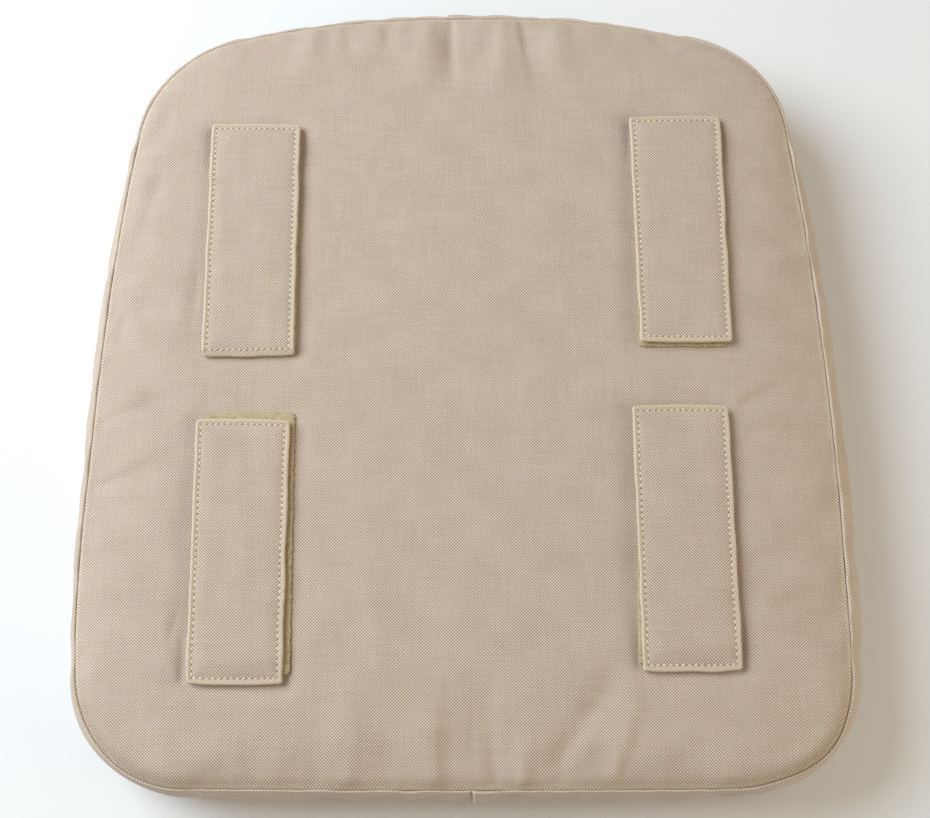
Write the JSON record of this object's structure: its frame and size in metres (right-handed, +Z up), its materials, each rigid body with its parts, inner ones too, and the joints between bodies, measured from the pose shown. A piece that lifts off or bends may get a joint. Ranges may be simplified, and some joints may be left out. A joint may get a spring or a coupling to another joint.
{
  "type": "garden armchair seat cushion",
  "caption": "Boxed seat cushion for a garden armchair, face down, with foam and fibre filling, a zip in the rear band and hook-and-loop straps on its underside.",
  "frame": {"origin": "middle of the footprint on the surface that the cushion lies on, face down", "axes": "+Z up, from the seat face to the strapped underside; +Y from the front edge to the rounded rear edge; +X to the right as seen from above"},
  "size_m": [0.461, 0.5005, 0.0694],
  "materials": {
    "canvas": "matte",
    "foam": "matte",
    "fibre": "matte",
    "loop_tape": "matte",
    "hook_tape": "matte",
    "thread": "matte",
    "zip_cloth": "matte",
    "zip_plastic": "satin",
    "zip_metal": "satin"
  },
  "bodies": {
    "cushion": {"foam_core": "foam", "wadding_seat_side": "fibre", "wadding_underside": "fibre", "seat_panel": "canvas", "underside_panel": "canvas", "band_left": "canvas", "band_right": "canvas", "zip_tape_upper": "zip_cloth", "zip_tape_lower": "zip_cloth", "zip_teeth_upper": "zip_plastic", "zip_teeth_lower": "zip_plastic", "zip_stops": "zip_plastic", "loop_tape_rear_left": "loop_tape", "loop_tape_rear_right": "loop_tape", "loop_tape_front_left": "loop_tape", "loop_tape_front_right": "loop_tape", "strap_anchor_rear_left": "canvas", "strap_anchor_rear_right": "canvas", "strap_anchor_front_left": "canvas", "strap_anchor_front_right": "canvas"},
    "strap_rear_left": {"strap_flap_rear_left": "canvas", "hook_tape_rear_left": "hook_tape", "flap_stitching_rear_left": "thread"},
    "strap_rear_right": {"strap_flap_rear_right": "canvas", "hook_tape_rear_right": "hook_tape", "flap_stitching_rear_right": "thread"},
    "strap_front_left": {"strap_flap_front_left": "canvas", "hook_tape_front_left": "hook_tape", "flap_stitching_front_left": "thread"},
    "strap_front_right": {"strap_flap_front_right": "canvas", "hook_tape_front_right": "hook_tape", "flap_stitching_front_right": "thread"},
    "slider": {"zip_slider": "zip_metal"},
    "pull": {"zip_pull": "zip_metal"}
  },
  "joints": [
    {"name": "strap_rear_left_lift", "type": "hinge", "parent": "cushion", "child": "strap_rear_left", "pos_m": [-0.129, 0.15131, 0.0657], "axis": [-1, 0, 0], "range_deg": [0, 150]},
    {"name": "strap_rear_right_lift", "type": "hinge", "parent": "cushion", "child": "strap_rear_right", "pos_m": [0.1335, 0.15731, 0.0657], "axis": [-1, 0, 0], "range_deg": [0, 150]},
    {"name": "strap_front_left_lift", "type": "hinge", "parent": "cushion", "child": "strap_front_left", "pos_m": [-0.1275, -0.18142, 0.0657], "axis": [1, 0, 0], "range_deg": [0, 150]},
    {"name": "strap_front_right_lift", "type": "hinge", "parent": "cushion", "child": "strap_front_right", "pos_m": [0.128, -0.17392, 0.0657], "axis": [1, 0, 0], "range_deg": [0, 150]},
    {"name": "zip_slide", "type": "hinge", "parent": "cushion", "child": "slider", "pos_m": [0, -0.36356, 0.032], "axis": [0, 0, 1], "range_deg": [0, 23.18]},
    {"name": "zip_pull_turn", "type": "hinge", "parent": "slider", "child": "pull", "pos_m": [0.12349, 0.23836, 0.032], "axis": [0, 0, -1], "range_deg": [0, 160]}
  ]
}
